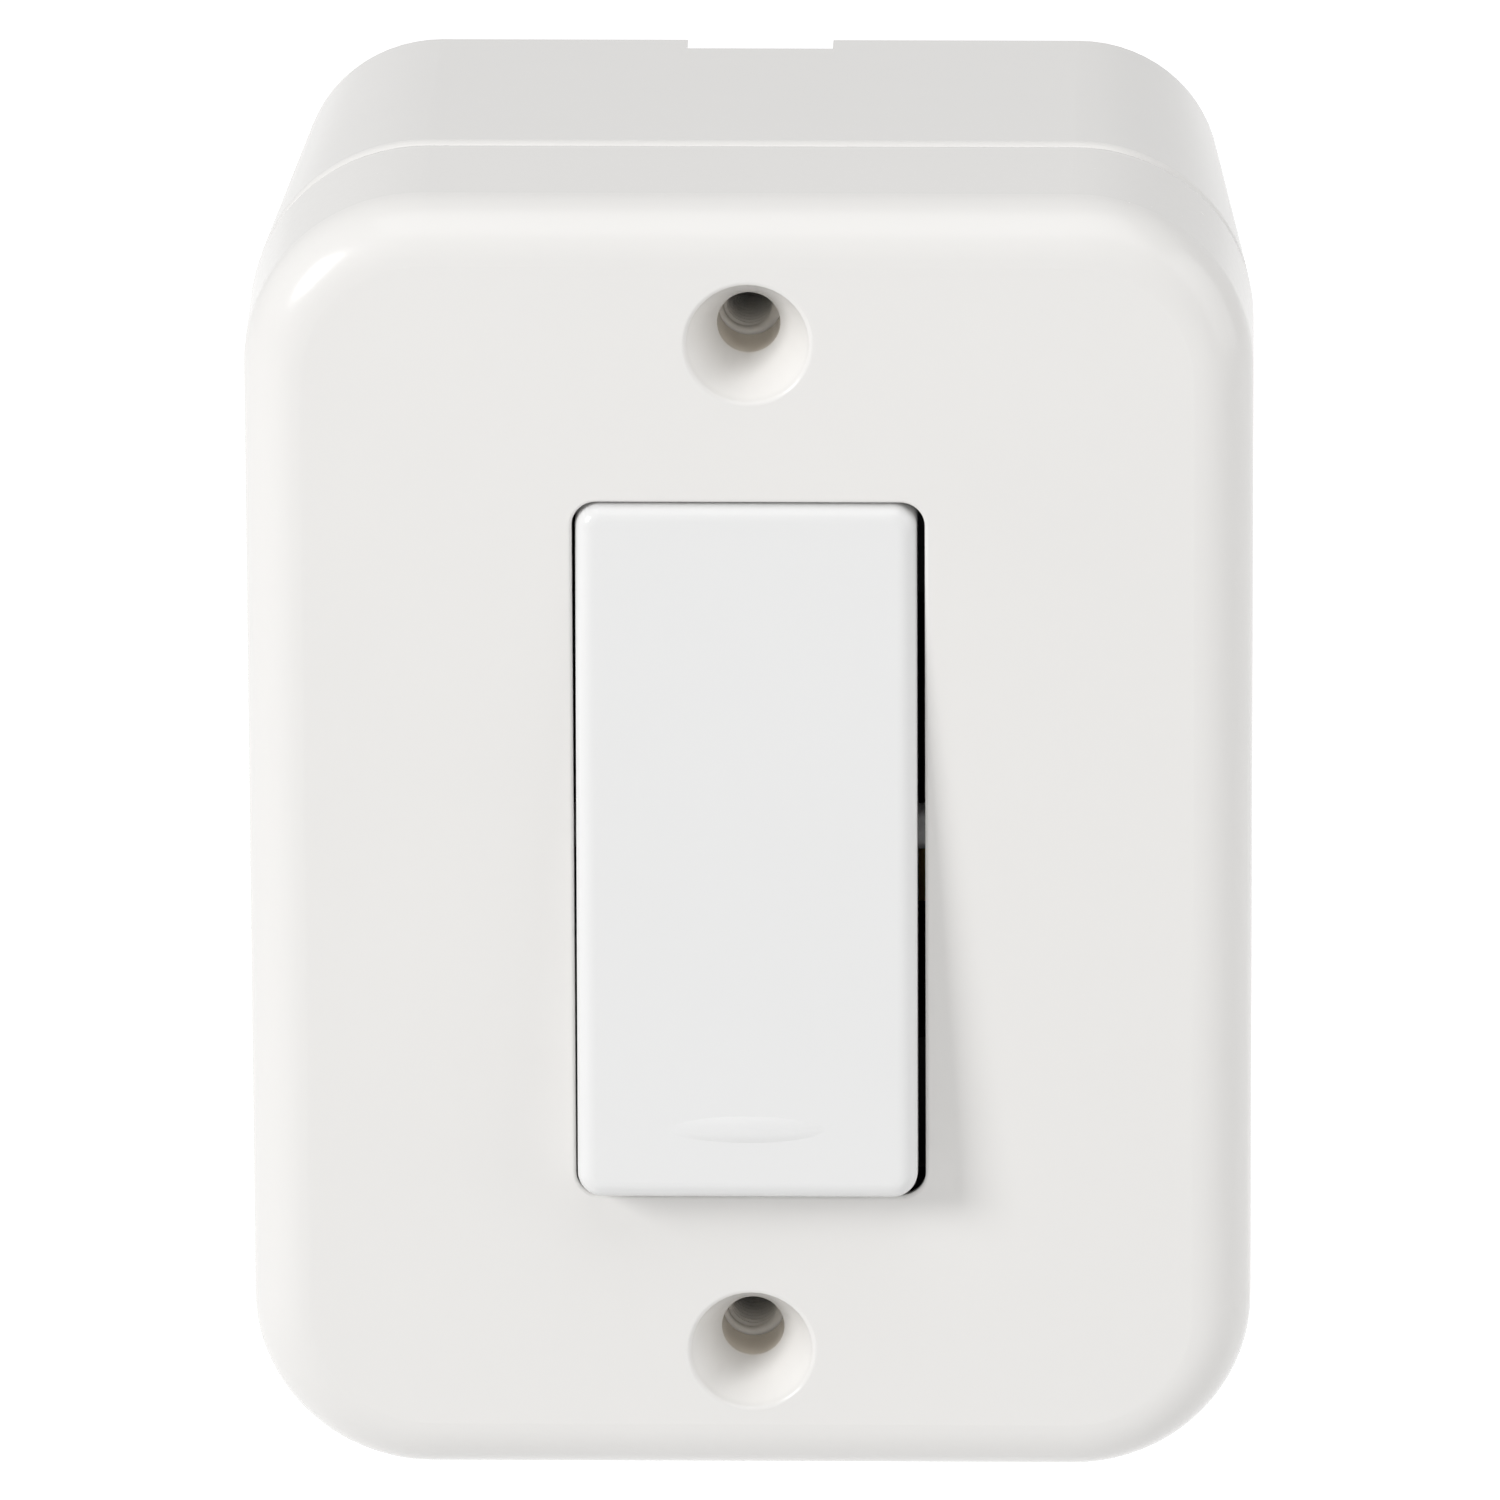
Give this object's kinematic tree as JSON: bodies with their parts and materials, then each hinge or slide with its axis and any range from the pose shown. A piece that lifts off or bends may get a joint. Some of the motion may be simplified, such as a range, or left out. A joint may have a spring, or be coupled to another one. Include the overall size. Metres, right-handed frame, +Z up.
{
  "type": "rocker wall switch",
  "caption": "Surface-mounted rocker wall switch: rounded white cover on a tapered rear box, tall narrow key, open countersunk fixing holes, changeover mechanism inside.",
  "frame": {"origin": "centre of the back face, which lies on the wall", "axes": "+X right seen from the front, +Y into the wall, +Z up"},
  "size_m": [0.0652, 0.0469, 0.0874],
  "materials": {
    "cover": "satin warm white moulding",
    "box": "satin warm white moulding",
    "key": "satin cool white moulding",
    "housing": "fine matt black thermoset",
    "nylon": "natural nylon",
    "copper": "rolled copper alloy",
    "brass": "stamped brass",
    "silver": "silver alloy, slightly tarnished",
    "steel": "zinc-plated steel",
    "spring_steel": "drawn spring wire"
  },
  "bodies": {
    "case": {"front_cover": "cover", "rear_box": "box", "threaded_inserts": "steel", "mechanism_housing": "housing", "mechanism_base": "housing", "housing_rivets": "steel", "mechanism_screws": "steel", "common_terminal": "brass", "upper_terminal": "brass", "lower_terminal": "brass", "fixed_contact_upper": "silver", "fixed_contact_lower": "silver", "common_clamp_cage": "brass", "upper_clamp_cage": "brass", "lower_clamp_cage": "brass", "common_clamp_screw": "steel", "upper_clamp_screw": "steel", "lower_clamp_screw": "steel"},
    "key": {"rocker": "key", "plunger_spring": "spring_steel"},
    "key_plunger": {"plunger": "nylon"},
    "see_saw": {"contact_lever": "copper", "moving_contact_upper": "silver", "moving_contact_lower": "silver"}
  },
  "joints": [
    {"name": "key_tilt", "type": "hinge", "parent": "case", "child": "key", "pos_m": [0, -0.038, 0], "axis": [1, 0, 0], "range_deg": [0, 9]},
    {"name": "plunger_slide", "type": "slide", "parent": "key", "child": "key_plunger", "axis": [0, -0.9969, 0.0785], "range_m": [0, 0.001], "stiffness_N_per_m": 300, "springref_m": -0.004, "deforming": ["plunger_spring"]},
    {"name": "see_saw_tilt", "type": "hinge", "parent": "case", "child": "see_saw", "pos_m": [0, -0.02115, 0], "axis": [1, 0, 0], "range_deg": [-16, 0]}
  ],
  "couplings": [
    {"joint": "see_saw_tilt", "follows": "key_tilt", "ratio": -1.7778}
  ]
}
